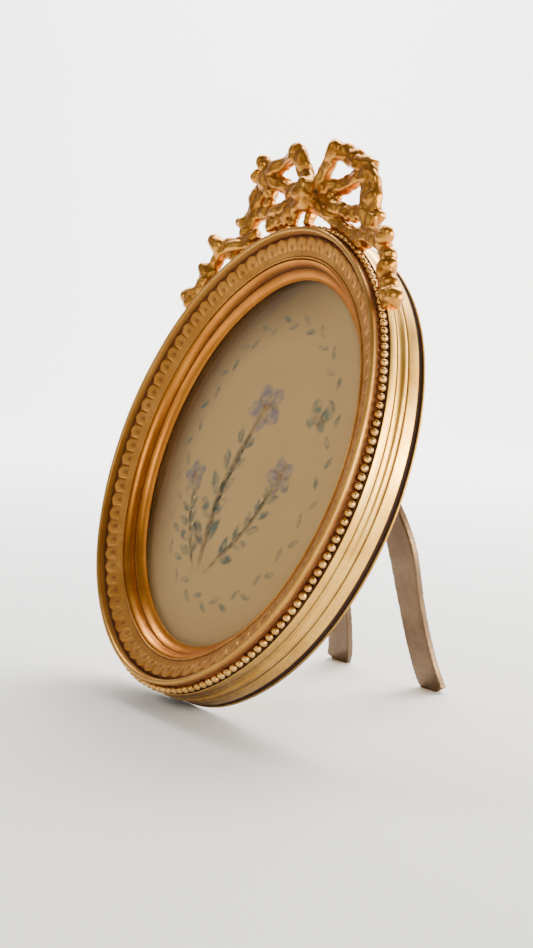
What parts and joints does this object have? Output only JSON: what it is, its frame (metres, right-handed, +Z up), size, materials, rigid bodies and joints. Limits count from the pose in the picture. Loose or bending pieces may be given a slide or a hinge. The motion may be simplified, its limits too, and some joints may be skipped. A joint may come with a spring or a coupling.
{
  "type": "oval easel picture frame",
  "caption": "Oval standing picture frame of gilt cast metal: moulded rim, beading, pierced ribbon-bow crest, glazed picture, closed back and a folding two-legged strut.",
  "frame": {"origin": "on the ground, under the middle of the standing frame's footprint box", "axes": "+Z up, the picture faces -Y and leans back, +X to the right as one faces the picture"},
  "size_m": [0.1, 0.0796, 0.1405],
  "materials": {
    "gilt_metal": "satin",
    "gilt_beads": "satin",
    "gilt_bow": "satin",
    "brass": "satin",
    "brass_sheet": "satin",
    "screw_brass": "satin",
    "strut_brass": "satin",
    "steel_pin": "satin",
    "glass": "polished",
    "picture": "matte",
    "card": "matte"
  },
  "bodies": {
    "frame": {"rim": "gilt_metal", "bead_row": "gilt_beads", "front_ring": "gilt_metal", "leaf_band": "gilt_metal", "cove_liner": "gilt_metal", "bow_crest": "gilt_bow", "crest_studs": "brass", "glass": "glass", "picture_sheet": "picture", "backing_card": "card", "back_plate": "brass_sheet", "clip_screws": "screw_brass", "hinge_plate": "brass", "hinge_rivets": "screw_brass", "hinge_pin": "steel_pin"},
    "strut": {"strut_leaf": "brass", "strut_legs": "strut_brass", "strut_rivets": "screw_brass"},
    "clip_1": {"turn_clip_1": "brass"},
    "clip_2": {"turn_clip_2": "brass"},
    "clip_3": {"turn_clip_3": "brass"},
    "clip_4": {"turn_clip_4": "brass"}
  },
  "joints": [
    {"name": "strut_fold", "type": "hinge", "parent": "frame", "child": "strut", "pos_m": [0, 0.01254, 0.09899], "axis": [-1, 0, 0], "range_deg": [0, 34]},
    {"name": "clip_1_turn", "type": "hinge", "parent": "frame", "child": "clip_1", "pos_m": [0.03307, 0.00834, 0.09646], "axis": [0, -0.9415, 0.3371], "range_deg": [-90, 90]},
    {"name": "clip_2_turn", "type": "hinge", "parent": "frame", "child": "clip_2", "pos_m": [-0.03307, 0.00834, 0.09646], "axis": [0, -0.9415, 0.3371], "range_deg": [-90, 90]},
    {"name": "clip_3_turn", "type": "hinge", "parent": "frame", "child": "clip_3", "pos_m": [-0.03307, -0.01944, 0.01887], "axis": [0, -0.9415, 0.3371], "range_deg": [-90, 90]},
    {"name": "clip_4_turn", "type": "hinge", "parent": "frame", "child": "clip_4", "pos_m": [0.03307, -0.01944, 0.01887], "axis": [0, -0.9415, 0.3371], "range_deg": [-90, 90]}
  ]
}
